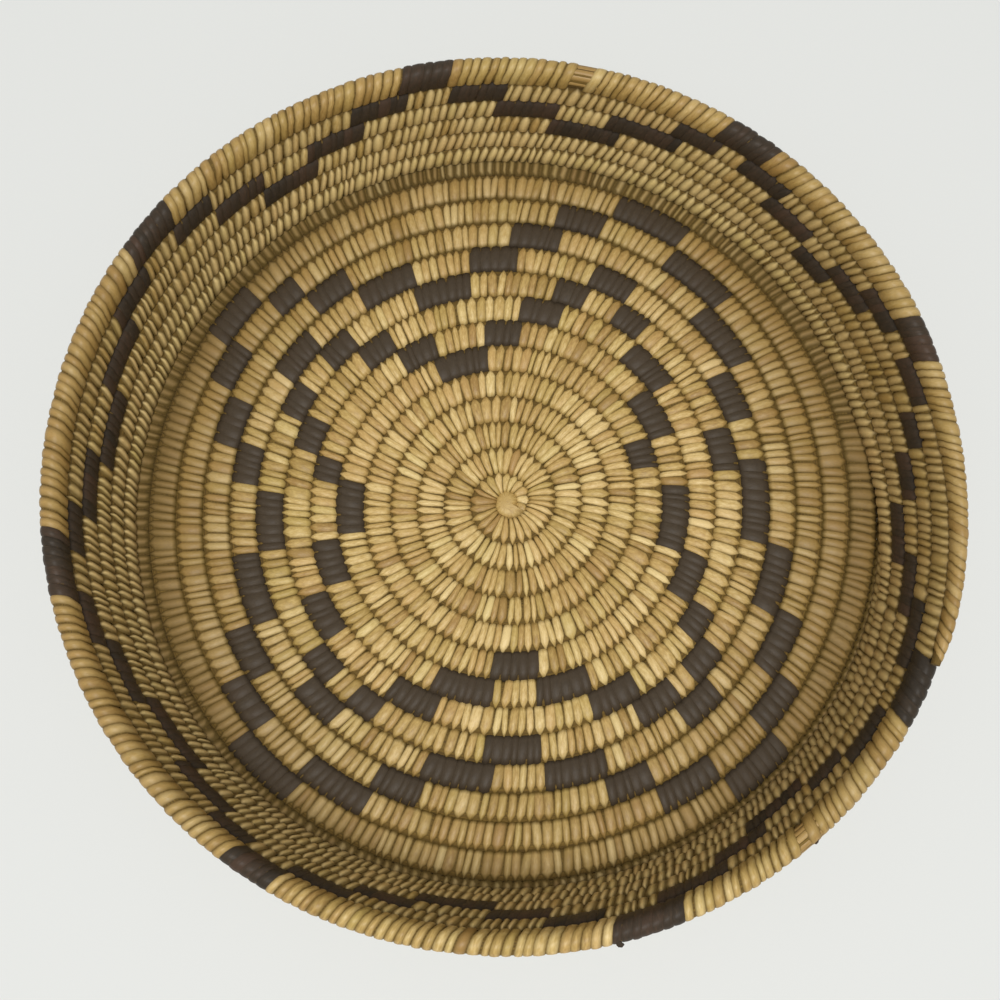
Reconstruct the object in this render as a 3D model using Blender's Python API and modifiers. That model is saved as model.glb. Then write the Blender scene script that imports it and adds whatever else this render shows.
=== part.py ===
# Coiled basket tray: two foundation coils, a start knot, and the splint wraps of the two top rounds.
# The floor coil winds outwards counter-clockwise from the knot, as seen from above, and ends under the wall.
# The wall coil starts thin on the floor's edge, winds up clockwise and ends thin on top of the rim.

import bpy
import bmesh
import math
from mathutils import Vector

# Driving sizes in metres, and angles in degrees counter-clockwise from +X as seen from above
COIL_THICKNESS = 0.0084       # floor coil from top to bottom, wall coil from inside to outside
FLOOR_PITCH = 0.01152         # from one floor round to the next
WALL_PITCH = 0.01015          # from one wall round to the next, along the wall
COIL_GAP = 0.0005             # between neighbouring rounds of one coil
SEAT_GAP = 0.0003             # between separate pieces that touch
FLAT_DEPTH = 0.0005           # how deep the underside is cut flat

FLOOR_START = -30.0           # where the floor coil leaves the knot
FLOOR_FULL = 210.0            # where it has swollen to its full size
FLOOR_ROUNDS = 13             # whole rounds before the last one, which lies under the wall
FLOOR_PHASE = 0.406           # pitches from the centre to the coil's axis, at angle 0 of the first round
TAIL_START = 185.0            # where the last floor round starts to thin
TAIL_END = 357.0              # where it ends
TAIL_SIZE = 0.5               # size of its end, as a share of the full coil
START_SIZE = 0.45             # size of the first tip, as a share of the full coil
KNOT_EDGE = 0.0012            # rounding of the knot's edge

WALL_ROUNDS = 6               # five wall rounds and the rim
WALL_LEAN = 9.6               # how far the wall leans outwards from upright
WALL_INSET = 0.0012           # how far the first wall round's axis lies outside the axis of the round under it
WALL_START = 4.0              # where the wall coil's tip lies
JOG_START = 20.0              # where a wall round starts to climb onto the one before it
JOG_LENGTH = 55.0             # how far round the climb goes
RIM_END = -24.0               # where the coil ends, on top of the rim
RIM_THIN_LENGTH = 40.0        # how far round the rim thins before its tip
RIM_THIN_SIZE = 0.55          # its size there
RIM_TIP_SIZE = 0.4            # its size at the very end
FOOT_FADE = 0.014             # height over which the wall's foot stops following the floor coil's growing radius
WALL_OVAL = 0.0085            # how much longer and shorter the rim's two diameters are than a circle's
OVAL_TURN = -18.0             # direction of the longer diameter
OVAL_HEIGHT = 0.060           # height at which the rim has its full ovality and sideways drift
RIM_DRIFT = Vector((-0.0011, -0.0003))

POINTS_PER_ROUND = 24         # stations in a round, for floor and wall alike
COARSE_ROUNDS = 2             # the small rounds at the centre have half as many
SECTION_POINTS = 8            # corners of the coil's oval section

WRAP_THICKNESS = 0.0008       # thickness of a run of splints round the coil
WRAP_BEND_SPACE = 0.6         # least angle between a wrap's end and a bend of the coil
FLANK_WIDTH = 7.4             # angle taken by a dark run in the round under the rim
FLANK_OVERLAP = 0.8           # how far it reaches in under the rim's dark run
RIM_DARK_RUNS = [(327.0, 336.0), (283.0, 291.0), (235.5, 242.0), (188.0, 196.0),
                 (142.0, 149.3), (97.0, 104.4), (51.0, 58.0), (16.0, 22.0)]

STRAW = (0.60, 0.43, 0.20, 1.0)
GOLDEN = (0.56, 0.36, 0.15, 1.0)
DARK_BROWN = (0.055, 0.032, 0.022, 1.0)

# Sizes that follow from the driving ones
FLOOR_WIDTH = FLOOR_PITCH - COIL_GAP
WALL_HEIGHT = WALL_PITCH - COIL_GAP
FLOOR_AXIS = COIL_THICKNESS / 2 - FLAT_DEPTH
FLOOR_TOP = FLOOR_AXIS + COIL_THICKNESS / 2
WALL_START_TRAVEL = JOG_START - WALL_START
WALL_END_TRAVEL = JOG_START - RIM_END + 360.0 * WALL_ROUNDS


def clear_scene():
    for item in list(bpy.data.objects):
        bpy.data.objects.remove(item, do_unlink=True)


def make_collection(name):
    collection = bpy.data.collections.new(name)
    bpy.context.scene.collection.children.link(collection)
    return collection


def make_material(name, colour, roughness):
    material = bpy.data.materials.new(name)
    material.use_nodes = True
    shader = material.node_tree.nodes["Principled BSDF"]
    shader.inputs["Base Color"].default_value = colour
    shader.inputs["Roughness"].default_value = roughness
    shader.inputs["Metallic"].default_value = 0.0
    return material


def smooth(value):
    # An even S-shaped step from 0 to 1
    share = min(max(value, 0.0), 1.0)
    return share * share * (3 - 2 * share)


def mix(first, second, share):
    return first + (second - first) * share


# Oval sections

def oval_points(width, height):
    corners = []
    for index in range(SECTION_POINTS):
        turn = 2 * math.pi * index / SECTION_POINTS
        corners.append((width / 2 * math.cos(turn), height / 2 * math.sin(turn)))
    return corners


def cut_flat(corners, level):
    # The part of the outline above the level, closed by a straight line along it
    kept = []
    for index, corner in enumerate(corners):
        before = corners[index - 1]
        if (corner[1] > level) != (before[1] > level):
            share = (level - before[1]) / (corner[1] - before[1])
            kept.append((mix(before[0], corner[0], share), level))
        if corner[1] > level:
            kept.append(corner)
    return kept


def make_section(name, corners):
    outline = bpy.data.curves.new(name, "CURVE")
    outline.dimensions = "2D"
    spline = outline.splines.new("POLY")
    spline.points.add(len(corners) - 1)
    for point, corner in zip(spline.points, corners):
        point.co = (corner[0], corner[1], 0.0, 1.0)
    spline.use_cyclic_u = True
    section = bpy.data.objects.new(name, outline)
    section.hide_render = True
    section.display_type = "WIRE"
    guides.objects.link(section)
    return section


# Rails: lists of stations, each with a place, a size as a share of the full section, and the way along

def floor_round_radius(way):
    return FLOOR_PITCH * (way / 360.0 + FLOOR_PHASE)


FLOOR_TAIL_START = 360.0 * FLOOR_ROUNDS + TAIL_START
FLOOR_TAIL_END = 360.0 * FLOOR_ROUNDS + TAIL_END
FLOOR_EDGE = floor_round_radius(FLOOR_TAIL_START) + FLOOR_WIDTH / 2
WALL_FOOT_RADIUS = floor_round_radius(FLOOR_TAIL_START + 15.0) + WALL_INSET
WALL_FOOT_HEIGHT = FLOOR_TOP + SEAT_GAP + WALL_HEIGHT / 2


def floor_station(way):
    turn = math.radians(way)
    radius = floor_round_radius(way)
    height = FLOOR_AXIS
    size = 1.0
    if way < FLOOR_FULL:
        # The tip is drawn out to lie against the round that follows it
        size = mix(START_SIZE, 1.0, smooth((way - FLOOR_START) / (FLOOR_FULL - FLOOR_START)))
        radius += (1 - size) * FLOOR_WIDTH / 2
    if way > FLOOR_TAIL_START:
        # The tail thins towards its outer and upper side, where the wall presses on it
        size = mix(1.0, TAIL_SIZE, (way - FLOOR_TAIL_START) / (FLOOR_TAIL_END - FLOOR_TAIL_START))
        radius = FLOOR_EDGE - size * FLOOR_WIDTH / 2
        height = FLOOR_TOP - size * COIL_THICKNESS / 2
    place = Vector((radius * math.cos(turn), radius * math.sin(turn), height))
    return place, size, way


def floor_rail():
    fine = 360.0 / POINTS_PER_ROUND
    stations = []
    way = FLOOR_START
    while way < FLOOR_TAIL_END - fine / 4:
        stations.append(floor_station(way))
        coarse = way < 360.0 * COARSE_ROUNDS - 0.5
        way += 2 * fine if coarse else fine
    stations.append(floor_station(FLOOR_TAIL_END))
    return stations


def wall_climb(travel):
    # How far up the wall the coil's axis lies above its first round, and its size there.
    # Travel runs clockwise from the angle where a round starts to climb.
    number = math.floor(travel / 360.0)
    climb = smooth((travel - 360.0 * number) / JOG_LENGTH) * WALL_PITCH
    if number == 0:
        # The tip fills the wedge between the floor and the round that climbs away above it
        height = climb - COIL_GAP
        return (height - WALL_HEIGHT) / 2, height / WALL_HEIGHT
    if number == WALL_ROUNDS:
        # The rim's end lies on the round under it and thins
        past = travel - 360.0 * number
        size = mix(1.0, RIM_THIN_SIZE, past / RIM_THIN_LENGTH)
        if past > RIM_THIN_LENGTH:
            size = RIM_TIP_SIZE
        seat = (number - 2) * WALL_PITCH + climb + WALL_HEIGHT / 2 + COIL_GAP
        return seat + size * WALL_HEIGHT / 2, size
    return (number - 1) * WALL_PITCH + climb, 1.0


def foot_swing(travel):
    # The floor's last round lies further out as it winds on, and the wall's foot follows it
    past = travel % 360.0
    level_length = 360.0 - JOG_LENGTH
    if past < JOG_LENGTH:
        share = smooth(past / JOG_LENGTH)
    else:
        share = (360.0 - past) / level_length
    return (share - 0.5) * FLOOR_PITCH * level_length / 360.0


def wall_station(travel):
    along, size = wall_climb(travel)
    turn = math.radians(JOG_START - travel)
    lean = math.radians(WALL_LEAN)
    height = WALL_FOOT_HEIGHT + along * math.cos(lean)
    share = min(max(height / OVAL_HEIGHT, 0.0), 1.0)
    oval = 1 + WALL_OVAL * share * math.cos(2 * (turn - math.radians(OVAL_TURN)))
    swing = foot_swing(travel) * math.exp(-(height - FLOOR_AXIS) / FOOT_FADE)
    radius = (WALL_FOOT_RADIUS + along * math.sin(lean)) * oval + swing
    x = radius * math.cos(turn) + RIM_DRIFT.x * share
    y = radius * math.sin(turn) + RIM_DRIFT.y * share
    return Vector((x, y, height)), size, travel


def wall_rail():
    step = 360.0 / POINTS_PER_ROUND
    stations = [wall_station(WALL_START_TRAVEL)]
    index = math.floor((WALL_START_TRAVEL - JOG_START) / step) + 1
    while JOG_START + index * step < WALL_END_TRAVEL - step / 4:
        travel = JOG_START + index * step
        if travel > WALL_START_TRAVEL + step / 4:
            stations.append(wall_station(travel))
        index += 1
    stations.append(wall_station(WALL_END_TRAVEL))
    return stations


def rail_between(rail, first, last):
    # The stations strictly between two ways along the rail, with its own straight runs cut at both
    stations = [rail_at(rail, first)]
    stations += [station for station in rail if first < station[2] < last]
    stations.append(rail_at(rail, last))
    return stations


def rail_at(rail, way):
    for before, after in zip(rail, rail[1:]):
        if before[2] <= way <= after[2]:
            share = (way - before[2]) / (after[2] - before[2])
            return before[0].lerp(after[0], share), mix(before[1], after[1], share), way
    return rail[-1] if way > rail[-1][2] else rail[0]


def clear_of_bends(rail, way):
    # A wrap's end face is square to the coil, so it keeps clear of the coil's bends
    for station in rail[1:-1]:
        if abs(station[2] - way) < WRAP_BEND_SPACE:
            side = 1 if way >= station[2] else -1
            return station[2] + side * WRAP_BEND_SPACE
    return way


# Solids

def sweep(name, rail, section, material, lean=0.0, capped=True):
    # Carries a section along a rail and gives one mesh object
    line = bpy.data.curves.new(name, "CURVE")
    line.dimensions = "3D"
    line.twist_mode = "Z_UP"
    line.bevel_mode = "OBJECT"
    line.bevel_object = section
    line.use_fill_caps = capped
    spline = line.splines.new("POLY")
    spline.points.add(len(rail) - 1)
    for point, station in zip(spline.points, rail):
        point.co = (*station[0], 1.0)
        point.radius = station[1]
        point.tilt = math.radians(lean)
    carrier = bpy.data.objects.new(name + "_line", line)
    guides.objects.link(carrier)
    bpy.context.view_layer.update()
    graph = bpy.context.evaluated_depsgraph_get()
    mesh = bpy.data.meshes.new_from_object(carrier.evaluated_get(graph))
    mesh.name = name
    mesh.transform(carrier.matrix_world)
    bpy.data.objects.remove(carrier, do_unlink=True)
    shape = bmesh.new()
    shape.from_mesh(mesh)
    bmesh.ops.remove_doubles(shape, verts=shape.verts, dist=0.00001)
    bmesh.ops.recalc_face_normals(shape, faces=shape.faces)
    shape.to_mesh(mesh)
    shape.free()
    mesh.materials.clear()
    mesh.materials.append(material)
    mesh.shade_smooth()
    mesh.set_sharp_from_angle(angle=math.radians(50))
    piece = bpy.data.objects.new(name, mesh)
    parts.objects.link(piece)
    piece.parent = tray
    return piece


def open_tube_outwards(piece):
    # An open tube has no inside, so its faces are turned by hand to look away from its axis
    mesh = piece.data
    face = mesh.polygons[0]
    ring = [mesh.vertices[index].co for index in face.vertices]
    middle = sum(ring, Vector()) / len(ring)
    centre = sum((vertex.co for vertex in mesh.vertices), Vector()) / len(mesh.vertices)
    nearest = min(wall_line, key=lambda station: (station[0] - middle).length)
    inside = nearest[0] if (nearest[0] - middle).length < (centre - middle).length else centre
    if face.normal.dot(middle - inside) < 0:
        mesh.flip_normals()


def make_floor_coil():
    corners = cut_flat(oval_points(FLOOR_WIDTH, COIL_THICKNESS), FLAT_DEPTH - COIL_THICKNESS / 2)
    section = make_section("floor_section", corners)
    rail = floor_rail()
    sweep("floor_coil", rail, section, foundation)
    return rail


def make_start_knot():
    # A domed button with a flat foot, turned about the centre. The coil's first tip lies against it.
    tip, size, _ = floor_station(FLOOR_START)
    radius = tip.xy.length - size * FLOOR_WIDTH / 2 - SEAT_GAP
    profile = bpy.data.meshes.new("start_knot")
    shape = bmesh.new()
    outline = [(0.0, FLOOR_TOP), (radius * 0.6, FLOOR_TOP - KNOT_EDGE * 0.4), (radius, FLOOR_TOP - KNOT_EDGE * 2),
               (radius, KNOT_EDGE), (radius - KNOT_EDGE, 0.0), (0.0, 0.0)]
    corners = [shape.verts.new((x, 0.0, z)) for x, z in outline]
    for first, second in zip(corners, corners[1:]):
        shape.edges.new((first, second))
    shape.to_mesh(profile)
    shape.free()
    profile.materials.append(foundation)
    knot = bpy.data.objects.new("start_knot", profile)
    parts.objects.link(knot)
    knot.parent = tray
    turned = knot.modifiers.new("turned", "SCREW")
    turned.axis = "Z"
    turned.steps = 16
    turned.render_steps = 16
    turned.use_merge_vertices = True
    turned.merge_threshold = 0.0001
    return knot


def wrapped_size(size):
    # The bare coil's size inside a wrap, so that the wrap and its seat fit within the coil's outer size
    return size - (WRAP_THICKNESS + SEAT_GAP) / (COIL_THICKNESS / 2)


def make_wall_coil(wrap_start):
    rail = wall_rail()
    lined = []
    for before, after in zip(rail, rail[1:] + rail[-1:]):
        if before[2] >= wrap_start:
            lined.append((before[0], wrapped_size(before[1]), before[2]))
            continue
        lined.append(before)
        if before[2] < wrap_start <= after[2]:
            # The bare coil steps down to its wrapped size just before the first wrap
            shoulder = max(wrap_start - WRAP_BEND_SPACE, mix(before[2], wrap_start, 0.5))
            lined.append(rail_at(rail, shoulder))
            place, size, way = rail_at(rail, wrap_start)
            lined.append((place, wrapped_size(size), way))
    section = make_section("wall_section", oval_points(COIL_THICKNESS, WALL_HEIGHT))
    sweep("wall_coil", lined, section, foundation, WALL_LEAN)
    return rail, lined, section


def make_wrap(name, rail, first, last, section, material):
    # Half a seat's gap is left at each end, so that two wraps lie a whole one apart
    radius = WALL_FOOT_RADIUS
    trim = math.degrees(SEAT_GAP / 2 / radius)
    wrap = sweep(name, rail_between(rail, first + trim, last - trim), section, material, WALL_LEAN, False)
    open_tube_outwards(wrap)
    wall = wrap.modifiers.new("splint", "SOLIDIFY")
    wall.thickness = WRAP_THICKNESS
    wall.offset = -1.0
    wall.use_even_offset = True
    return wrap


def rim_runs():
    # Dark runs on the rim as travel along the coil, in order
    return [(travel_of(high, WALL_ROUNDS), travel_of(low, WALL_ROUNDS)) for low, high in RIM_DARK_RUNS]


def upper_runs():
    # In the round under the rim a dark run flanks each end of the rim's dark run
    runs = []
    for low, high in RIM_DARK_RUNS:
        near = high - FLANK_OVERLAP
        far = low + FLANK_OVERLAP
        runs.append((travel_of(near + FLANK_WIDTH, WALL_ROUNDS - 1), travel_of(near, WALL_ROUNDS - 1)))
        runs.append((travel_of(far, WALL_ROUNDS - 1), travel_of(far - FLANK_WIDTH, WALL_ROUNDS - 1)))
    return runs


def travel_of(angle, number):
    return JOG_START - angle + 360.0 * number


def make_wraps(prefix, rail, runs, end, section):
    # Dark and light runs in turn, from the first dark run to the end of the round
    for index, (first, last) in enumerate(runs):
        following = runs[index + 1][0] if index + 1 < len(runs) else end
        first = clear_of_bends(rail, first)
        last = clear_of_bends(rail, last)
        following = clear_of_bends(rail, following) if index + 1 < len(runs) else end
        make_wrap(f"{prefix}_dark_splint_{index + 1:02d}", rail, first, last, section, dark_splint)
        make_wrap(f"{prefix}_light_splint_{index + 1:02d}", rail, last, following, section, light_splint)


def least_gap(name, rail, width, height, tilt):
    # Least distance between corners of the section at stations more than half a round apart, on points
    rings = []
    for index, (place, size, way) in enumerate(rail):
        ahead = rail[min(index + 1, len(rail) - 1)][0]
        behind = rail[max(index - 1, 0)][0]
        forward = (ahead - behind).normalized()
        side = forward.cross(Vector((0, 0, 1))).normalized()
        if side.dot(place) < 0:
            side.negate()
        up = Vector((0, 0, 1))
        outward = side * math.cos(tilt) - up * math.sin(tilt)
        upward = up * math.cos(tilt) + side * math.sin(tilt)
        ring = [place + outward * x * size + upward * y * size for x, y in oval_points(width, height)]
        rings.append((way, place, ring))
    least = 1.0
    for index, (way, place, ring) in enumerate(rings):
        for other_way, other_place, other in rings[index + 1:]:
            if other_way - way < 180.0 or (other_place - place).length > 2 * max(width, height):
                continue
            least = min(least, min((a - b).length for a in ring for b in other))
    print(f"{name}: least gap to itself {least * 1000:.2f} mm")


clear_scene()
parts = make_collection("coiled_basket_tray")
guides = make_collection("guides")
tray = bpy.data.objects.new("tray", None)
parts.objects.link(tray)
foundation = make_material("foundation", STRAW, 0.8)
light_splint = make_material("light_splint", GOLDEN, 0.6)
dark_splint = make_material("dark_splint", DARK_BROWN, 0.55)

floor_line = make_floor_coil()
make_start_knot()
upper = upper_runs()
rim = rim_runs()
wall_line, bare_line, wrap_section = make_wall_coil(upper[0][0])
make_wraps("upper", wall_line, upper, rim[0][0], wrap_section)
make_wraps("rim", wall_line, rim, WALL_END_TRAVEL, wrap_section)

least_gap("floor_coil", floor_line, FLOOR_WIDTH, COIL_THICKNESS, 0.0)
least_gap("wall_coil", bare_line, COIL_THICKNESS, WALL_HEIGHT, math.radians(WALL_LEAN))

# The tray is centred over its own outline, standing on z = 0
bpy.context.view_layer.update()
outline = [piece.matrix_world @ Vector(corner) for piece in parts.objects if piece.type == "MESH"
           for corner in piece.bound_box]
middle = Vector((min(p.x for p in outline) + max(p.x for p in outline),
                 min(p.y for p in outline) + max(p.y for p in outline), 0.0)) / 2
tray.location = -middle
bpy.context.view_layer.update()
print(f"floor centre at x {-middle.x * 1000:.3f} mm, y {-middle.y * 1000:.3f} mm")
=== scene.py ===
import math
import bpy
import numpy as np
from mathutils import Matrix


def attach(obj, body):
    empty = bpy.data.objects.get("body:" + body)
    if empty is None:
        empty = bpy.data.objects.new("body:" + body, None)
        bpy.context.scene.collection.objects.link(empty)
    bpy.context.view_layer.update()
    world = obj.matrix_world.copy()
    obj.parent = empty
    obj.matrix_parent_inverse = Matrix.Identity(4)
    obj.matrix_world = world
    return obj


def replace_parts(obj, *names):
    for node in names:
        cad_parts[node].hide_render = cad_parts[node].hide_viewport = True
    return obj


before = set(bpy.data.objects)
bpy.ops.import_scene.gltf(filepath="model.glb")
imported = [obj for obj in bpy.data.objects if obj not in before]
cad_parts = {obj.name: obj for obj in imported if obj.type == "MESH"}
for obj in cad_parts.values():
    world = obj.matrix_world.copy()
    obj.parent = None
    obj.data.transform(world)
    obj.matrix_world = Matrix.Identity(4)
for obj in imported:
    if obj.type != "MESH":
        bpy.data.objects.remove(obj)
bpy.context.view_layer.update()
print("frame loaded")

# The tray's build, in metres and degrees. Angles run counter-clockwise from +X as seen from above.
tray = {
    "floorCentre": (0.001415, 0.000341),  # the floor coil's centre in the frame
    "thickness": 0.0084,  # of both coils, from the seen face to the other
    "floorPitch": 0.01152,  # from round to round
    "wallPitch": 0.01015,
    "flat": 0.0005,  # how deep the underside is flat
    "seat": 0.0003,  # how far the wall stands off the floor
    "phase": 0.406,  # pitches from the centre to the coil's axis at way 0
    "floorStart": -30.0,  # the floor's coil begins here
    "floorFull": 210.0,  # and has its full size here
    "startSize": 0.45,
    "floorRounds": 13,
    "tailStart": 185.0,  # it thins out again from here, in its last round
    "tailEnd": 372.0,
    "tailSize": 0.456,
    "coilGap": 0.0005,
    "wallInset": 0.0012,
    "footPast": 15.0,  # past the tail's start, where the wall's foot takes its radius
    "wallRounds": 6,
    "lean": 9.6,
    "wallStart": 4.0,
    "jogStart": 20.0,  # each round of the wall climbs from here
    "jogLength": 55.0,
    "wedgeLeast": 0.0008,  # how high the wall's coil begins
    "rimStart": 336.0,  # the rim's round begins at this angle
    "rimEnd": -24.0,
    "thinLength": 40.0,  # the rim's end thins over this way, then faster over its tip
    "thinSize": 0.55,
    "tipLength": 5.0,
    "tipSize": 0.4,
    "footFade": 0.014,  # how soon the floor's spiral fades up the wall
    "oval": 0.0085,
    "ovalTurn": -18.0,
    "ovalHeight": 0.060,
    "drift": (-0.0011, -0.0003),  # the rim's centre from the floor's
}
floorWidth = tray["floorPitch"] - tray["coilGap"]
wallHeight = tray["wallPitch"] - tray["coilGap"]
floorAxis = tray["thickness"] / 2 - tray["flat"]
floorTop = floorAxis + tray["thickness"] / 2
floorCentre = np.array([*tray["floorCentre"], 0.0])
tailStart = 360.0 * tray["floorRounds"] + tray["tailStart"]
tailEnd = 360.0 * tray["floorRounds"] + tray["tailEnd"]
wallStart = tray["jogStart"] - tray["wallStart"]
wallEnd = tray["jogStart"] - tray["rimEnd"] + 360.0 * tray["wallRounds"]


def smooth(value):
    # Three squares less two cubes of the value, held between 0 and 1
    share = np.clip(value, 0.0, 1.0)
    return share * share * (3 - 2 * share)


def mix(first, second, share):
    return first + (second - first) * share


def roundRadius(way):
    # The spiral grows by one pitch in each round
    return tray["floorPitch"] * (way / 360.0 + tray["phase"])


def ringWays(turn):
    # The outward and the upward direction at each turn
    flat = np.stack([np.cos(turn), np.sin(turn), np.zeros_like(turn)], -1)
    return flat, np.zeros_like(flat) + [0, 0, 1]


def floorRail(way):
    # A flat spiral: the radius grows evenly with the way, and the first tip and the tail are drawn outwards.
    # A rail gives the axis point, the ways to the next round and to the seen face, and the size.
    begun = (way - tray["floorStart"]) / (tray["floorFull"] - tray["floorStart"])
    size = mix(tray["startSize"], 1.0, smooth(begun))
    radius = roundRadius(way) + (1 - size) * floorWidth / 2
    tail = np.clip((way - tailStart) / (tailEnd - tailStart), 0.0, 1.0)
    size = size * mix(1.0, tray["tailSize"], tail)
    edge = roundRadius(tailStart) + floorWidth / 2
    radius = np.where(way > tailStart, edge - size * floorWidth / 2, radius)
    height = np.where(way > tailStart, floorTop - size * tray["thickness"] / 2, floorAxis)
    out, up = ringWays(np.radians(way))
    return floorCentre + out * radius[..., None] + up * height[..., None], out, up, size


def wallRail(travel):
    # A leaning ring whose height climbs one round in each jog. Travel runs clockwise from a jog's start. The
    # first round grows from a wedge, and the last thins out on the one below. The ring is a little oval
    # towards the rim, and near the floor its radius swings with the floor's spiral.
    number = np.floor(travel / 360.0)
    past = travel - 360.0 * number
    climb = smooth(past / tray["jogLength"]) * tray["wallPitch"]
    along = (number - 1) * tray["wallPitch"] + climb
    size = np.ones_like(travel)
    wedge = np.maximum(climb - tray["coilGap"], tray["wedgeLeast"])
    first = number < 1
    along = np.where(first, (wedge - wallHeight) / 2, along)
    size = np.where(first, wedge / wallHeight, size)
    last = number >= tray["wallRounds"]
    thin = mix(1.0, tray["thinSize"], np.clip(past / tray["thinLength"], 0, 1))
    thin = mix(thin, tray["tipSize"], smooth((past - tray["thinLength"]) / tray["tipLength"]))
    seat = (number - 2) * tray["wallPitch"] + climb + wallHeight / 2 + tray["coilGap"]
    along = np.where(last, seat + thin * wallHeight / 2, along)
    size = np.where(last, thin, size)
    lean = math.radians(tray["lean"])
    turn = np.radians(tray["jogStart"] - travel)
    height = floorTop + tray["seat"] + wallHeight / 2 + along * math.cos(lean)
    share = np.clip(height / tray["ovalHeight"], 0.0, 1.0)
    oval = 1 + tray["oval"] * share * np.cos(2 * (turn - math.radians(tray["ovalTurn"])))
    level = 360.0 - tray["jogLength"]
    swing = np.where(past < tray["jogLength"], smooth(past / tray["jogLength"]), (360.0 - past) / level)
    swing = (swing - 0.5) * tray["floorPitch"] * level / 360.0
    swing = swing * np.exp(-(height - floorAxis) / tray["footFade"])
    foot = roundRadius(tailStart + tray["footPast"]) + tray["wallInset"]
    radius = (foot + along * math.sin(lean)) * oval + swing
    flat, up = ringWays(turn)
    centre = floorCentre + np.array([*tray["drift"], 0.0]) * share[..., None]
    axis = centre + flat * radius[..., None] + up * height[..., None]
    nextWay = flat * math.sin(lean) + up * math.cos(lean)
    return axis, nextWay, up * math.sin(lean) - flat * math.cos(lean), size


class Wire:
    # Shader maths: one value on its way through a material's nodes
    def __init__(self, tree, socket):
        self.tree = tree
        self.socket = socket

    def node(self, kind, settings=None, **sockets):
        made = self.tree.nodes.new(kind)
        for name, value in (settings or {}).items():
            if name == "ramp":
                for place, colour in value[1:-1]:
                    made.color_ramp.elements.new(place).color = colour
                ends = made.color_ramp.elements
                ends[0].position, ends[0].color = value[0]
                ends[-1].position, ends[-1].color = value[-1]
            else:
                setattr(made, name, value)
        for name, value in sockets.items():
            socket = made.inputs[int(name[1:])] if name[1:].isdigit() else made.inputs[name.replace("_", " ")]
            if isinstance(value, Wire):
                self.tree.links.new(value.socket, socket)
            else:
                socket.default_value = value
        return made

    def out(self, kind, settings=None, output=0, **sockets):
        return Wire(self.tree, self.node(kind, settings, **sockets).outputs[output])

    def math(self, operation, first, second):
        return self.out("ShaderNodeMath", {"operation": operation}, i0=first, i1=second)

    def __add__(self, other):
        return self.math("ADD", self, other)

    def __radd__(self, other):
        return self.math("ADD", other, self)

    def __sub__(self, other):
        return self.math("SUBTRACT", self, other)

    def __rsub__(self, other):
        return self.math("SUBTRACT", other, self)

    def __mul__(self, other):
        return self.math("MULTIPLY", self, other)

    def __rmul__(self, other):
        return self.math("MULTIPLY", other, self)

    def __pow__(self, other):
        return self.math("POWER", self, other)

    def clamp(self):
        return self.out("ShaderNodeClamp", i0=self)

    def into(self, node, name):
        self.tree.links.new(self.socket, node.inputs[name])

    def blend(self, first, second):
        # A colour between two, by this value
        return self.out("ShaderNodeMix", {"data_type": "RGBA", "clamp_factor": True}, output=2,
                        i0=self, i6=first, i7=second)

    def ramp(self, stops):
        # A colour read off a ramp by this value
        return self.out("ShaderNodeValToRGB", {"ramp": stops}, i0=self)

    def times(self, colour):
        # A colour made lighter or darker by this value
        return self.out("ShaderNodeVectorMath", {"operation": "SCALE"}, i0=colour, i3=self)


def startMaterial(name):
    material = bpy.data.materials.new(name)
    material.use_nodes = True
    tree = material.node_tree
    return material, tree.nodes["Principled BSDF"], Wire(tree, None)


def stripeNoise(wire, scaleAcross, scaleAlong, detail):
    # Noise on the splint's own map, drawn out along the splint
    place = wire.out("ShaderNodeUVMap", {"uv_map": "splintMap"})
    drawn = wire.out("ShaderNodeMapping", i0=place, i3=(scaleAcross, scaleAlong, 1.0))
    return wire.out("ShaderNodeTexNoise", {"noise_dimensions": "3D"}, Vector=drawn, Scale=1.0, Detail=detail)


def attribute(wire, name):
    return wire.out("ShaderNodeAttribute", {"attribute_name": name}, output=2)


# A noise is its scale across the splint, its scale along it and its detail. The streaks add a pair's second.
# The palest tone stands partly for a painted sheen on the stitches
splintLooks = {
    "paleAndSheen": (0.81, 0.61, 0.27, 1), "middle": (0.565, 0.382, 0.125, 1), "deep": (0.35, 0.205, 0.058, 1),
    "rosy": (0.60, 0.365, 0.13, 1), "olive": (0.50, 0.39, 0.10, 1), "dirt": (0.11, 0.066, 0.009, 1),
    "dust": (0.130, 0.090, 0.026, 1), "agedAndShaded": (0.29, 0.175, 0.048, 1),
    "black": (0.036, 0.028, 0.020, 1), "brown": (0.050, 0.036, 0.024, 1), "russet": (0.070, 0.043, 0.028, 1),
    "rubbed": (0.066, 0.048, 0.030, 1), "scuff": (0.15, 0.115, 0.07, 1), "sootAndShade": (0.022, 0.015, 0.009, 1),
    "streakNoise": (5.0, 0.35, 3.0), "fineNoise": (16.0, 0.8, 2.0), "streaks": 1.3, "grainTone": 0.40,
    "hueShare": 0.6, "ageAndShadeShare": (0.7, 0.6), "dustTone": 0.4, "dustShare": (0.6, 0.8),
    "dirtShadePower": 1.5, "dirtShadeShare": 0.9, "cornerShade": 0.38,
    "rubbedShare": 0.4, "scuffFrom": 0.6, "scuffGain": 3.0, "scuffShare": 0.3, "sootShadeShare": 0.5,
    "roughness": 0.30, "roughFine": 0.25, "roughDirt": 0.2, "roughDust": 0.5,
    "bump": 0.5, "grain": 0.0003, "streakRelief": 0.6, "fineRelief": 0.4,
    "specular": 0.38, "darkSpecular": 0.12,
}


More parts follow.
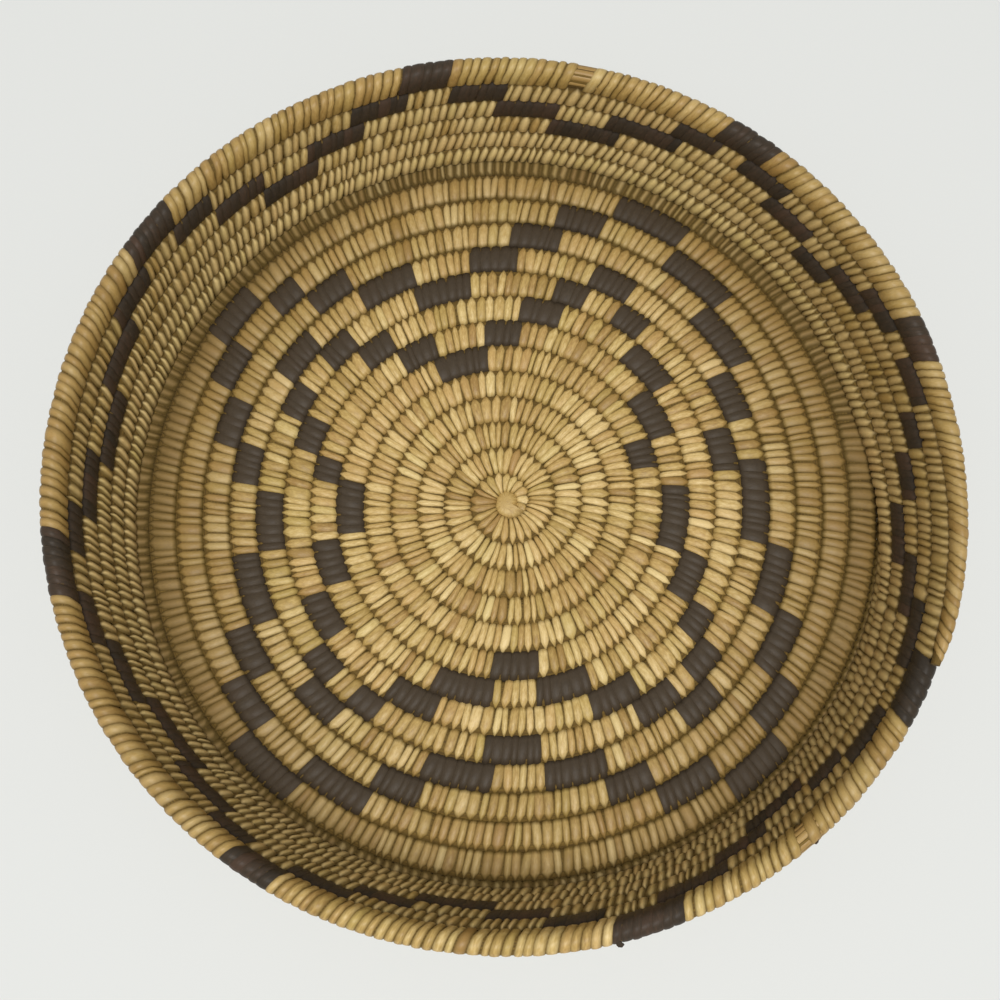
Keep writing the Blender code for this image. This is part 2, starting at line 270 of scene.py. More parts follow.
def splintMaterial(name, dark):
    # Split plant strip: a tone and hue for each stitch, streaks along its fibres, age with painted shade,
    # dirt and painted shade at its ends and edges, dust and painted shade in the corner. Its palest tone is
    # partly a painted sheen. Dark strips are rubbed paler on the floor.
    material, shader, wire = startMaterial(name)
    look = splintLooks
    tone, dirt, dust, hue = (attribute(wire, key) for key in ("tone", "dirt", "dust", "hue"))
    streak = stripeNoise(wire, *look["streakNoise"])
    fine = stripeNoise(wire, *look["fineNoise"])
    shade = (tone + (streak - 0.5) * look["streaks"]).clamp()
    if dark:
        base = shade.ramp([(0.0, look["black"]), (0.5, look["brown"]), (1.0, look["russet"])])
        rubbed = attribute(wire, "rubbed") * (look["rubbedShare"] + streak)
        base = rubbed.clamp().blend(base, look["rubbed"])
        scuffed = ((streak - look["scuffFrom"]) * look["scuffGain"]).clamp() * look["scuffShare"]
        base = scuffed.blend(base, look["scuff"])
        # Dirt and painted shade: near black at the dark stitches' ends
        base = (dirt * look["sootShadeShare"]).blend(base, look["sootAndShade"])
    else:
        base = shade.ramp([(0.0, look["deep"]), (0.5, look["middle"]), (1.0, look["paleAndSheen"])])
        base = (hue.clamp() * look["hueShare"]).blend(base, look["rosy"])
        base = ((0 - hue).clamp() * look["hueShare"]).blend(base, look["olive"])
        # Age and painted shade: browner and darker towards the outer floor and the wall
        agedAndShaded = attribute(wire, "age") * (look["ageAndShadeShare"][0] + streak * look["ageAndShadeShare"][1])
        base = agedAndShaded.clamp().blend(base, look["agedAndShaded"])
        dusty = dust * look["dustTone"] * (look["dustShare"][0] + streak * look["dustShare"][1])
        base = dusty.clamp().blend(base, look["dust"])
        # Dirt and painted shade: darker at the stitches' ends and edges
        base = (dirt ** look["dirtShadePower"] * look["dirtShadeShare"]).clamp().blend(base, look["dirt"])
        # Painted shade: the corner darker by the dust's share
        base = (1 - dust * look["cornerShade"]).times(base)
    base = (1 - look["grainTone"] / 2 + fine * look["grainTone"]).times(base)
    base.into(shader, "Base Color")
    rough = look["roughness"] + fine * look["roughFine"] + dirt * look["roughDirt"] + dust * look["roughDust"]
    rough.into(shader, "Roughness")
    bump = wire.out("ShaderNodeBump", Strength=look["bump"], Distance=look["grain"],
                    Height=streak * look["streakRelief"] + fine * look["fineRelief"])
    bump.into(shader, "Normal")
    shader.inputs["Specular IOR Level"].default_value = look["darkSpecular"] if dark else look["specular"]
    return material


stemLooks = {
    "light": (0.24, 0.145, 0.022, 1), "dark": (0.09, 0.05, 0.007, 1), "noise": (26.0, 0.05, 2.0),
    "lineFrom": 0.35, "lineGain": 2.2, "roughness": 0.85, "bump": 0.6, "groove": 0.0005,
}


def stemMaterial(name):
    # Bundled stems: fine lines along the coil, darkened with age
    material, shader, wire = startMaterial(name)
    look = stemLooks
    streaks = stripeNoise(wire, *look["noise"])
    base = ((streaks - look["lineFrom"]) * look["lineGain"]).clamp().blend(look["dark"], look["light"])
    base.into(shader, "Base Color")
    shader.inputs["Roughness"].default_value = look["roughness"]
    bump = wire.out("ShaderNodeBump", Strength=look["bump"], Distance=look["groove"], Height=streaks)
    bump.into(shader, "Normal")
    return material


lightSplint = splintMaterial("lightSplint", False)
darkSplint = splintMaterial("darkSplint", True)
stems = stemMaterial("stems")
print("materials made")


def addObject(name, data):
    made = bpy.data.objects.new(name, data)
    bpy.context.scene.collection.objects.link(made)
    return made


def makePiece(name, points, faces, material, slot, uv, values=None, sharp=40.0):
    mesh = bpy.data.meshes.new(name)
    mesh.vertices.add(len(points))
    mesh.vertices.foreach_set("co", np.ascontiguousarray(points, dtype=np.float32).ravel())
    sizes = np.concatenate([np.full(len(block), block.shape[1]) for block in faces]).astype(np.int32)
    loops = np.concatenate([block.ravel() for block in faces]).astype(np.int32)
    mesh.loops.add(len(loops))
    mesh.loops.foreach_set("vertex_index", loops)
    mesh.polygons.add(len(sizes))
    mesh.polygons.foreach_set("loop_start", np.concatenate([[0], np.cumsum(sizes)[:-1]]).astype(np.int32))
    mesh.polygons.foreach_set("loop_total", sizes)
    mesh.update(calc_edges=True)
    layer = mesh.uv_layers.new(name="splintMap")
    layer.data.foreach_set("uv", uv[loops].astype(np.float32).ravel())
    for key, value in (values or {}).items():
        stored = mesh.attributes.new(key, "FLOAT", "POINT")
        stored.data.foreach_set("value", value.astype(np.float32).ravel())
    mesh.validate()
    mesh.materials.append(material)
    mesh.shade_smooth()
    mesh.set_sharp_from_angle(angle=math.radians(sharp))
    piece = addObject(name, mesh)
    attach(piece, "root")
    return piece


def tubeFaces(count, rings, around, turned):
    # Closed tubes one after another: quads from ring to ring and a cap at each end. Turned flips them all,
    # for rings that run the other way round.
    a = np.arange(around)
    b = (a + 1) % around
    r = np.arange(rings - 1)[:, None] * around
    sides = np.stack([r + a, r + b, r + around + b, r + around + a], -1).reshape(-1, 4)
    caps = np.array([a[::-1], (rings - 1) * around + a])
    if turned:
        sides, caps = sides[:, ::-1], caps[:, ::-1]
    step = (np.arange(count) * rings * around)[:, None, None]
    return [(sides + step).reshape(-1, 4), (caps + step).reshape(-1, around)]


def fanFaces(rings, around):
    # One closed tube: quads from ring to ring, and a fan at each end to one of the two points after the rings
    i, j = np.meshgrid(np.arange(rings - 1), np.arange(around), indexing="ij")
    a, b = i * around + j, i * around + (j + 1) % around
    quads = np.stack([a, b, b + around, a + around], -1).reshape(-1, 4)
    j, last, end = np.arange(around), (rings - 1) * around, np.full(around, rings * around)
    return [quads, np.stack([end, (j + 1) % around, j], -1),
            np.stack([end + 1, last + j, last + (j + 1) % around], -1)]


def pairs(u, v):
    # Map places from two arrays that spread over each other
    return np.stack(np.broadcast_arrays(u, v), -1).reshape(-1, 2)


def superOval(turn, width, height, power=2.6):
    # An oval with fuller shoulders than an ellipse: each coordinate is a cosine or sine to a power under 1
    c, s = np.cos(turn), np.sin(turn)
    x = width / 2 * np.sign(c) * np.abs(c) ** (2 / power)
    y = height / 2 * np.sign(s) * np.abs(s) ** (2 / power)
    return x, y


stemShape = {
    "around": 20, "floorSteps": 90, "wallSteps": 110,  # points round the coil, and rings in each round
    "shrink": 0.00075, "lap": 1.08, "open": 0.82, "openOver": 8.0, "mapStep": 10,
    "floorShort": 0.9, "wallPast": 0.4,                # degrees from the coils' ends
}


def makeStems(name, coil, first, last, perRound, openWay):
    # A tube: an oval carried along the coil's rail, flatter below, wider towards the round before, and drawn
    # in from openWay on at the side where no next round lies
    look = stemShape
    count = int((last - first) / 360.0 * perRound) + 2
    way = np.linspace(first, last, count)
    axis, out, face, size = coil["rail"](way)
    around = look["around"]
    turn = np.arange(around) / around * 2 * np.pi
    x, y = superOval(turn, coil["width"] + tray["coilGap"], tray["thickness"] - 2 * look["shrink"])
    y = np.where(y < 0, y * coil["under"], y)
    narrow = 1 - (1 - look["open"]) * smooth((way - openWay) / look["openOver"] + 1)
    x = np.where(x > 0, x * narrow[:, None], x * look["lap"])[..., None]
    y = y[:, None]
    ring = axis[:, None] + size[:, None, None] * (x * out[:, None] + y * face[:, None])
    points = np.concatenate([ring.reshape(-1, 3), axis[[0, -1]]])
    faces = fanFaces(count, around)
    # Near its start the rail's three directions show which way round the rings run
    if np.linalg.det(np.stack([out[5], face[5], axis[6] - axis[5]])) < 0:
        faces = [block[:, ::-1] for block in faces]
    uv = np.concatenate([pairs(np.abs(turn / np.pi - 1), way[:, None] / look["mapStep"]), np.zeros((2, 2))])
    return makePiece(name, points, faces, stems, "foundation", uv)


# How a stitch runs round the coil. Each row is a ring across the splint: how far towards the next round and
# towards the seen face it lies, in half sizes plus millimetres, how wide it is there, how dark with dirt and
# painted shade, and how far along the coil, clockwise, it has come in millimetres.
plainPath = [
    # next, mm, face, mm, width, dirt and painted shade, along
    (-1, -1.3, 1, -2.7, 0.75, 1.0, -0.2),
    (-1, -0.35, 1, -0.95, 1.00, 0.40, 0.0),
    (-1, 0.75, 1, -0.22, 1.02, 0.05, 0.4),
    (0, -0.6, 1, 0.08, 1.02, 0.0, 1.4),
    (1, -3.4, 1, -0.03, 1.00, 0.0, 2.2),
    (1, -2.15, 1, -0.25, 0.72, 0.12, 2.7),
    (1, -0.9, 1, -0.90, 0.34, 0.50, 3.05),
    (1, -0.1, 0, 0.5, 0.14, 1.0, 3.2),
    (1, -0.35, -1, 1.35, 0.80, 0.40, 3.25),
    (1, -2.0, -1, 0.30, 1.00, 0.05, 3.35),
    (0, 0.0, -1, -0.05, 1.00, 0.0, 3.5),
    (-1, 0.8, -1, 0.30, 0.92, 0.15, 3.6),
    (-1, -1.2, -1, 2.2, 0.40, 1.0, 3.7),
]
rimPath = [
    (-1, -1.3, 1, -2.7, 0.75, 1.0, -0.2),
    (-1, -0.35, 1, -0.95, 1.00, 0.45, 0.0),
    (-1, 0.75, 1, -0.22, 1.02, 0.10, 0.4),
    (0, 0.2, 1, 0.08, 1.02, 0.0, 1.8),
    (1, -2.7, 1, -0.30, 1.02, 0.0, 3.0),
    (1, -1.35, 1, -1.30, 1.02, 0.0, 3.7),
    (1, -0.65, 0, 0.7, 1.02, 0.0, 4.4),
    (1, -0.85, 0, -1.3, 1.00, 0.0, 5.0),
    (1, -2.0, -1, 0.8, 1.00, 0.0, 5.2),
    (0, 0.6, -1, -0.05, 1.00, 0.0, 4.9),
    (-1, 1.0, -1, 0.35, 0.92, 0.15, 4.2),
    (-1, -1.2, -1, 2.2, 0.40, 1.0, 3.7),
]
# Round the floor's outer edge, which lies open below the wall
edgePath = [
    *plainPath[:4],
    (1, -2.2, 1, -0.25, 1.00, 0.0, 2.0),
    (1, -0.95, 1, -1.25, 0.96, 0.05, 2.5),
    (1, -0.45, 0, 0.3, 0.96, 0.05, 2.9),
    (1, -0.75, 0, -1.5, 0.98, 0.0, 3.1),
    (1, -1.9, -1, 0.7, 1.00, 0.0, 3.3),
    (0, 0.4, -1, -0.05, 1.00, 0.0, 3.5),
    *plainPath[-2:],
]
# On the wall the stitches' ends are shorter and blunter
wallPath = [*plainPath]
wallPath[4] = (1, -2.8, 1, -0.06, 1.00, 0.0, 2.4)
wallPath[5] = (1, -1.7, 1, -0.40, 0.84, 0.08, 2.8)
wallPath[6] = (1, -0.7, 1, -1.05, 0.46, 0.50, 3.05)
wallPath[7] = (1, -0.1, 0, 0.5, 0.26, 1.0, 3.2)


def widened(path, least, soilShadeScale):
    # The same path with no ring narrower than the least width, its dirt and painted shade scaled by the last
    # value
    return [(*ring[:4], max(ring[4], least), ring[5] * soilShadeScale, ring[6]) for ring in path]


widePath = widened(wallPath, least=0.9, soilShadeScale=0.4)
darkPath = widened(plainPath, least=0.75, soilShadeScale=1.0)
darkWallPath = widened(wallPath, least=0.85, soilShadeScale=1.0)

millimetre = 0.001
# Even is the way at which the floor's spacing is reached, dark a dark stitch's width against its room, and
# strip how many stitches one strip makes. Uneven, loose, wobble, tilt, stretch, tones and hues are spreads.
stitchLooks = {
    "start": 0.0030, "floor": 0.0038, "even": 2900.0, "wall": 0.0038, "uneven": 0.16, "samples": 2,
    "thick": 0.00065, "lift": 0.0001, "dark": 1.2, "snap": 0.3, "snapRings": 3.0, "strip": 14,
    "stripTone": 0.07, "stitchTone": 0.22, "stripHue": 0.15, "stitchHue": 0.22,
    "wobble": 0.06, "tilt": 0.04, "stretch": 0.07, "loose": 0.18, "looseMost": 0.2, "mapSpread": 50,
    "across": (-1.0, -0.66, 0.0, 0.66, 1.0), "crown": (0.0, 0.74, 1.0, 0.74, 0.0),
    # The soils darken light stitches' edges: towards the wall and in the corner with dirt and painted shade,
    # on the wall's shaded sides with painted shade
    "outerSoilShade": 1.3, "cornerSoilShade": 2.4, "shadedSideShade": 1.5, "sharp": 70.0,
}
coilHeight = tray["thickness"] - 2 * (stitchLooks["thick"] + stitchLooks["lift"])


def stitchPlaces(rail, first, last, spacing, seed):
    # Stitches laid edge to edge: their edges are the running sum of uneven widths, counted in steps of the
    # spacing, which may change along the coil. Stitches of one strip of splint share its tone and hue.
    look = stitchLooks
    random = np.random.default_rng(seed)
    fine = np.linspace(first, last, int((last - first) * look["samples"]) + 2)

    def draw(key, size):
        return random.normal(0, look[key], size)

    axis = rail(fine)[0]
    run = np.concatenate([[0], np.cumsum(np.linalg.norm(np.diff(axis, axis=0), axis=1))])
    steps = np.concatenate([[0], np.cumsum(np.diff(run) / spacing(fine)[1:])])
    count = int(steps[-1])
    widths = np.exp(draw("uneven", count))
    edges = np.interp(np.concatenate([[0], np.cumsum(widths)]) * steps[-1] / widths.sum(), steps, fine)
    middle = (edges[1:] + edges[:-1]) / 2
    strips = np.cumsum(random.random(count) < 1 / look["strip"])
    tone = 0.5 + draw("stripTone", strips[-1] + 1)[strips]
    hue = draw("stripHue", strips[-1] + 1)[strips]
    most = look["looseMost"]
    return {
        "way": middle,
        "half": np.diff(edges) / 2,
        "degrees": np.interp(middle, fine, np.gradient(fine, run)) * millimetre,  # in one millimetre
        "tone": tone + draw("stitchTone", count),
        "hue": hue + draw("stitchHue", count),
        "wobble": draw("wobble", count),
        "tilt": draw("tilt", count),
        "stretch": 1 + draw("stretch", count),
        "lift": 1 + np.clip(draw("loose", count), -most, most),
        "offset": random.uniform(0, look["mapSpread"], (count, 2)),
    }


def makeStitches(name, coil, chosen, path, material, slot):
    # Each stitch is a crowned strip: rings along its path round the coil, five points across, closed below.
    # Its slope is 1 where the coil's way runs clockwise and -1 where it runs the other way round.
    look = stitchLooks
    rail, places, slope = coil["rail"], coil["places"], coil["slope"]
    rows = np.array(path)
    x = rows[:, 0] * coil["width"] / 2 + rows[:, 1] * millimetre
    y = rows[:, 2] * coilHeight / 2 + rows[:, 3] * millimetre
    y = np.where(y < 0, y * coil["under"], y)
    dx, dy = np.gradient(x), np.gradient(y)
    nx, ny = -dy / np.hypot(dx, dy), dx / np.hypot(dx, dy)
    run = np.concatenate([[0], np.cumsum(np.hypot(np.diff(x), np.diff(y)))])
    wide, dirt, along = rows[:, 4], rows[:, 5], (rows[:, 6] - rows[3, 6]) * coil["slant"]
    tip = np.argmax(x)
    # The near end goes in between two stitches of the round before
    tips = places["way"] + slope * along[tip] * places["degrees"]
    way, half, degrees = places["way"][chosen], places["half"][chosen], places["degrees"][chosen]
    target = way + slope * along[1] * degrees - 360.0
    index = np.clip(np.searchsorted(tips, target), 1, len(tips) - 1)
    pull = np.clip((tips[index - 1] + tips[index]) / 2 - target, -half, half) * look["snap"]
    pull = np.where((target > tips[0]) & (target < tips[-1]), pull, 0.0)
    near = np.clip(1 - np.arange(len(x)) / look["snapRings"], 0, 1)
    centre = way[:, None] + slope * along * degrees[:, None] + pull[:, None] * near
    centre = centre + (places["wobble"][chosen] * half)[:, None]
    centre = centre + (places["tilt"][chosen] * degrees)[:, None] * x / millimetre
    dark = slot == "dark_splint"
    full = look["dark"] if dark else coil["fill"]
    reach = (half * full * places["stretch"][chosen])[:, None] * wide
    across, crown = np.array(look["across"]), np.array(look["crown"])
    spread = centre[..., None] + reach[..., None] * across
    axis, out, face, size = rail(spread)
    lift = (look["lift"] + look["thick"] * crown) * places["lift"][chosen][:, None, None]
    px = (x[:, None] + nx[:, None] * lift) * size
    py = (y[:, None] + ny[:, None] * lift) * size
    points = (axis + px[..., None] * out + py[..., None] * face).reshape(-1, 3)
    count, rings, five = spread.shape
    faces = tubeFaces(count, rings, five, slope > 0)
    dust = dustAndShadeAt(points)
    # Dirt and painted shade: darker stitch ends and edges, more towards the wall, in the corner and on the
    # wall's shaded sides
    edges = np.array(coil["soil"])[[0, 1, 2, 1, 0]] * (0 if dark else 1)
    outer = outerShare(points).reshape(spread.shape)
    shade = shadedShare(points).reshape(spread.shape)
    edges = edges * (1 + look["outerSoilShade"] * outer + look["cornerSoilShade"] * dust.reshape(spread.shape)
                     + look["shadedSideShade"] * shade)
    soil = np.clip(dirt[:, None] * (1 + coil["seam"] * outer) + edges, 0, 1)
    offset = places["offset"][chosen][..., None, None]
    uv = pairs((across + 1) / 2 + offset[:, 0], run[:, None] / millimetre + offset[:, 1])
    values = {
        "tone": np.broadcast_to(places["tone"][chosen][:, None, None], spread.shape),
        "hue": np.repeat(places["hue"][chosen], rings * five) + blushAt(points),
        "dirt": soil,
        "dust": dust,
        "age": ageAndShadeAt(points),
        "rubbed": rubbedAt(points),
    }
    return makePiece(name, points, faces, material, slot, uv, values, look["sharp"])


def fromCentre(points):
    # Each point's distance from the floor's centre, and its turn round it
    x, y = points[:, 0] - floorCentre[0], points[:, 1] - floorCentre[1]
    return np.hypot(x, y), np.arctan2(y, x)


dustAndShadeLooks = {
    "radius": 0.1560, "inwards": 0.0038, "width": 0.0070, "height": 0.0062, "rise": 0.0032, "amount": 0.86,
    "even": 0.62, "left": 0.20, "far": 0.16, "waves": 0.05, "waveCount": 11,
}


def dustAndShadeAt(points):
    # Grey-brown dust and painted shade gather in the corner of floor and wall: they fade over a few
    # millimetres from the corner's circle, which lies further inwards at the left and right. They are thicker
    # to the left and far side, with small waves.
    look = dustAndShadeLooks
    radius, turn = fromCentre(points)
    circle = look["radius"] - look["inwards"] * np.cos(turn) ** 2
    away = np.hypot((radius - circle) / look["width"], (points[:, 2] - look["height"]) / look["rise"])
    patches = look["even"] - look["left"] * np.cos(turn) + look["far"] * np.sin(turn)
    patches = patches + look["waves"] * np.sin(look["waveCount"] * turn)
    return np.exp(-away ** 2) * patches * look["amount"]


# Heights and radii in metres. Sides is how much age and painted shade the floor's left and right get, and the
# others are taken off it where their names say: shaded and foot take it off as painted light, and upperNear
# adds painted shade. The higher a gain, the shorter the far or near end.
ageAndShadeLooks = {
    "farGain": 2, "nearGain": 3,
    "from": 0.085, "to": 0.158, "sides": 0.90, "far": 0.46, "near": 0.52, "wall": 0.34, "wallOver": 0.004,
    "foot": 0.25, "footTop": 0.022, "footOver": 0.001, "rimFar": -0.18, "rimFrom": 0.052, "rimOver": 0.006,
    "upperNear": -0.55, "upperFrom": 0.030, "upperOver": 0.012, "shaded": 0.38,
}


def outerShare(points):
    # Grows smoothly from the floor's middle to the wall
    radius = fromCentre(points)[0]
    return smooth((radius - ageAndShadeLooks["from"]) / (ageAndShadeLooks["to"] - ageAndShadeLooks["from"]))


shadeLooks = {"even": 0.5, "slope": 0.7, "over": 0.004}


def shadedShare(points):
    # 1 on the wall's left and near sides, 0 on its far and right sides and on the floor
    look = shadeLooks
    turn = fromCentre(points)[1]
    side = look["even"] - look["slope"] * np.cos(turn) - look["slope"] * np.sin(turn)
    return smooth(side) * smooth((points[:, 2] - floorTop) / look["over"])


def ageAndShadeAt(points):
    # The outer floor, the wall and the rim are browner and darker than the middle, as age and painted shade.
    # It grows smoothly with the radius over the floor. It is weaker at the far and near ends and on the wall,
    # more so at its foot and its shaded sides as painted light, and stronger on the rim's far side and, as
    # painted shade, on the upper wall's near side.
    look = ageAndShadeLooks
    turn, height = fromCentre(points)[1], points[:, 2]
    far = smooth(np.sin(turn) * look["farGain"] - (look["farGain"] - 1))
    near = smooth(-np.sin(turn) * look["nearGain"] - (look["nearGain"] - 1))
    foot = smooth((height - floorTop) / look["footOver"])
    foot = foot * (1 - smooth((height - look["footTop"]) / look["wallOver"]))
    wall = smooth((height - floorTop) / look["wallOver"])
    less = look["far"] * far + look["near"] * near + look["foot"] * foot + look["wall"] * wall
    onRim = smooth((height - look["rimFrom"]) / look["rimOver"])
    upper = smooth((height - look["upperFrom"]) / look["upperOver"]) * (1 - onRim)
    # The rim's far side browner, and painted shade on the near wall's upper rounds
    less = less + look["rimFar"] * far * onRim + look["upperNear"] * near * upper
    # Painted light on the wall's shaded sides
    less = less + look["shaded"] * shadedShare(points) * (1 - onRim)
    return np.maximum(outerShare(points) * (look["sides"] - less), 0)


rubLooks = {"from": 0.009, "over": 0.02}


def rubbedAt(points):
    # Hands and use pale the dark strips on the floor. It fades up the wall.
    return 1 - smooth((points[:, 2] - rubLooks["from"]) / rubLooks["over"])


blushLooks = {"radius": 0.171, "height": 0.055, "over": 0.004, "amount": 0.9}


def blushAt(points):
    # The rim's outer edge is rosier: it grows over a few millimetres of radius and of height
    look = blushLooks
    outer = smooth((fromCentre(points)[0] - look["radius"]) / look["over"])
    return look["amount"] * outer * smooth((points[:, 2] - look["height"]) / look["over"])


# The stepped pattern: where the dark runs lie in each row, in degrees. Floor rows count from the wall.
floorDark = {
    1: [(57, 69.5), (139.5, 150), (222, 234), (307.5, 319)],
    2: [(43, 57.5), (70, 79.5), (133, 139.5), (149.5, 158), (214, 223), (233, 245), (297, 308), (318, 327)],
    3: [(31, 44), (79, 88), (125, 133.5), (158, 168), (205, 215), (244, 254), (289, 298.5), (326.5, 338)],
    4: [(19, 32), (60, 69.5), (87, 99), (112.5, 125), (140, 151), (167, 176.5), (191, 206.5), (223.5, 233),
        (253, 266), (277, 290), (309.5, 318), (338, 351)],
    5: [(9, 20.5), (51, 61), (68, 76.5), (99, 113), (133, 141.5), (149.5, 158.5), (177, 192), (217, 225.5),
        (232, 239.5), (265.5, 278.5), (302, 311), (317, 324.5), (350.5, 369)],
    6: [(38, 52), (75, 86.5), (125.5, 135), (157, 166), (206.5, 219), (238, 250.5), (293, 305), (323, 332)],
    7: [(22.5, 40), (84.5, 98.5), (113.5, 126.5), (165.5, 174.5), (193, 207.5), (249, 265), (279.5, 295),
        (330, 345)],
    8: [(13.5, 25.5), (96.5, 116), (172, 192), (264, 281.5), (344, 366.5)],
}
# Wall rounds by their level, the rim being 6. Angles past 325 lie where the rows climb.
wallDark = {
    6: [(16, 22), (51, 58), (97, 104.5), (142, 150), (188, 196), (235.5, 242), (283.8, 292.3),
        (328.5, 336.6)],
    5: [(10.5, 17), (21, 28), (46, 53), (57.5, 65), (90.5, 98), (104.5, 112), (135.5, 143.5), (149, 157),
        (183, 189.5), (195.5, 203), (229.5, 236), (241.5, 250), (276, 283.5), (290.5, 299.5), (320.5, 329),
        (335, 343.5)],
    4: [(5.5, 11), (26.5, 34.5), (39.5, 47.5), (64, 74), (82.5, 91.5), (111, 120.5), (128, 137), (156.5, 166),
        (175.5, 184.5), (203, 211.5), (221.5, 231), (250, 259), (268.5, 276.5), (299, 307.5), (315, 321),
        (342.5, 350.5)],
    3: [(-1.5, 5.5), (33.5, 40.5), (73, 83.5), (120, 129.5), (165.5, 176.5), (211.5, 223), (258.5, 269),
        (305.5, 315), (349.5, 359)],
}


def floorWay(row, angle):
    # The way along the floor's coil at an angle in a row
    return 360.0 * (tray["floorRounds"] - row) + angle


def wallWay(level, angle):
    # The same along the wall's coil, which runs clockwise
    return 360.0 * level + tray["jogStart"] - angle


def rimWay(angle):
    return wallWay(tray["wallRounds"], angle)


def inRuns(ways, table, wayOf):
    # Which ways along a coil lie in a dark run of the table
    dark = np.zeros(len(ways), bool)
    for row, runs in table.items():
        for run in runs:
            first, last = sorted(wayOf(row, angle) for angle in run)
            dark |= (ways > first) & (ways < last)
    return dark


def inRimRuns(runs):
    return inRuns(wallWays, {tray["wallRounds"]: runs}, wallWay)


def replaceGroup(piece, start):
    names = [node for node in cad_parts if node.startswith(start)]
    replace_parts(piece, *names)


rimStart = rimWay(tray["rimStart"])
floorOpen = tailEnd - 360.0  # from here on the floor's coil has no next round
# Under is how much flatter a coil is below, fill a light stitch's width against its room, soil how dark its
# edges, shoulders and middle are with dirt and painted shade, and seam how much darker its ends get towards
# the wall, with dirt and painted shade
floorCoil = {"rail": floorRail, "width": floorWidth, "under": 0.78, "slope": -1, "slant": 0.45, "fill": 0.98,
             "soil": (0.92, 0.16, 0.0), "seam": 2.8}
wallCoil = {"rail": wallRail, "width": wallHeight, "under": 1.0, "slope": 1, "slant": 0.85, "fill": 0.94,
            "soil": (0.8, 0.24, 0.0), "seam": 0.5}
floorStems = makeStems("floorStems", floorCoil, tray["floorStart"], tailEnd - stemShape["floorShort"],
                       stemShape["floorSteps"], floorOpen)
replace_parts(floorStems, "floor_coil")
wallStems = makeStems("wallStems", wallCoil, wallStart, wallEnd + stemShape["wallPast"],
                      stemShape["wallSteps"], rimStart)
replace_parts(wallStems, "wall_coil")
print("coils made")

# Where the stitches begin and end, in degrees from the coils' ends
sewing = {
    "floorFirst": 2.0, "floorShort": 0.5, "wallFirst": 11.0, "wallShort": 1.0,
    "tipFirst": 3.5,       # on the wall coil's thin tip
    "innerRounds": 9,      # the floor's light stitches are two pieces, parted here
    "upperBefore": 367.5,  # how far before the rim the round under it begins
    "rimEarly": 1.5,       # a dark stitch this little before the rim belongs to it
    "underEnd": 17.0,      # the stitches under the rim's thin end begin at this angle
}


def floorSpacing(way):
    # The stitches are finer near the start
    return mix(stitchLooks["start"], stitchLooks["floor"], smooth(way / stitchLooks["even"]))


def wallSpacing(way):
    return np.full_like(way, stitchLooks["wall"])


floorPlaces = stitchPlaces(floorRail, tray["floorStart"] + sewing["floorFirst"],
                           tailEnd - sewing["floorShort"], floorSpacing, seed=11)
wallPlaces = stitchPlaces(wallRail, wallStart + sewing["wallFirst"], wallEnd - sewing["wallShort"],
                          wallSpacing, seed=12)
tipPlaces = stitchPlaces(wallRail, wallStart + sewing["tipFirst"], wallStart + sewing["wallFirst"],
                         wallSpacing, seed=13)
floorWays, wallWays = floorPlaces["way"], wallPlaces["way"]
onFloor = inRuns(floorWays, floorDark, floorWay)
onWall = inRuns(wallWays, wallDark, wallWay)

floorCoil["places"] = floorPlaces
wallCoil["places"] = wallPlaces
tipCoil = {**wallCoil, "places": tipPlaces}
edgeCoil = {**floorCoil, "fill": 0.90, "soil": (1.0, 0.30, 0.0)}
rimCoil = {**wallCoil, "fill": 1.0, "soil": (0.55, 0.14, 0.0), "seam": 0.0}

edgeSpread = 1.6  # how much more the tones differ on the floor's open edge
inner = floorWays < 360.0 * sewing["innerRounds"]
edge = floorWays > floorOpen
floorPlaces["tone"][edge] = 0.5 + (floorPlaces["tone"][edge] - 0.5) * edgeSpread

# The wall's light stitches are paler than the floor's, its first round most, as painted light. The rim's last
# stitches are paler and rosier, and the dark run before them is darker.
wallTones = {
    "wall": 0.48, "foot": 0.50, "from": 560.0, "over": 360.0,
    "lastCount": 2, "lastTone": 0.35, "lastHue": 1.0, "darkRun": (327.5, 337.5), "darkTone": -0.6,
}
# A few rim stitches are lost in two places, and bare reeds show there. Seats are the reeds' places round the
# coil in degrees, from its top over the inner side.
lostPatches = {
    "farReeds": {"run": (77.6, 80.0), "seats": (-58, -14, 22, 60, 108, 142, 218, 260),
                 "tones": (0.1, 0.0, 0.1, 0.35, 0.6, 0.2, 0.3, 0.0)},
    "nearReeds": {"run": (308.2, 310.8), "seats": (-60, -20, 26, 64, 98, 132, 218, 260),
                  "tones": (0.1, 0.0, 0.75, -0.3, -0.4, -0.4, 0.2, 0.0)},
}
lower = wallWays < rimStart - sewing["upperBefore"]
rim = (wallWays >= rimStart) | (onWall & (wallWays > rimStart - sewing["rimEarly"]))
# Under the thin end of the rim's coil the stitches of the round below stay wide over the top
underEnd = (wallWays > wallWay(tray["wallRounds"] - 1, sewing["underEnd"])) & (wallWays < rimStart)
upper = ~lower & ~rim & ~underEnd
lost = inRimRuns([patch["run"] for patch in lostPatches.values()])
wallPlaces["tone"][-wallTones["lastCount"]:] += wallTones["lastTone"]
wallPlaces["hue"][-wallTones["lastCount"]:] += wallTones["lastHue"]
wallPlaces["tone"][onWall & inRimRuns([wallTones["darkRun"]])] += wallTones["darkTone"]
# Painted light: the wall's light stitches and its thin start paler, most near the foot
climbed = smooth((wallWays - wallTones["from"]) / wallTones["over"])
paler = wallTones["wall"] + wallTones["foot"] * (1 - climbed)
wallPlaces["tone"] += np.where(onWall | rim, 0.0, paler)
tipPlaces["tone"] += wallTones["wall"] + wallTones["foot"]
wholeTip = np.ones(len(tipPlaces["way"]), bool)

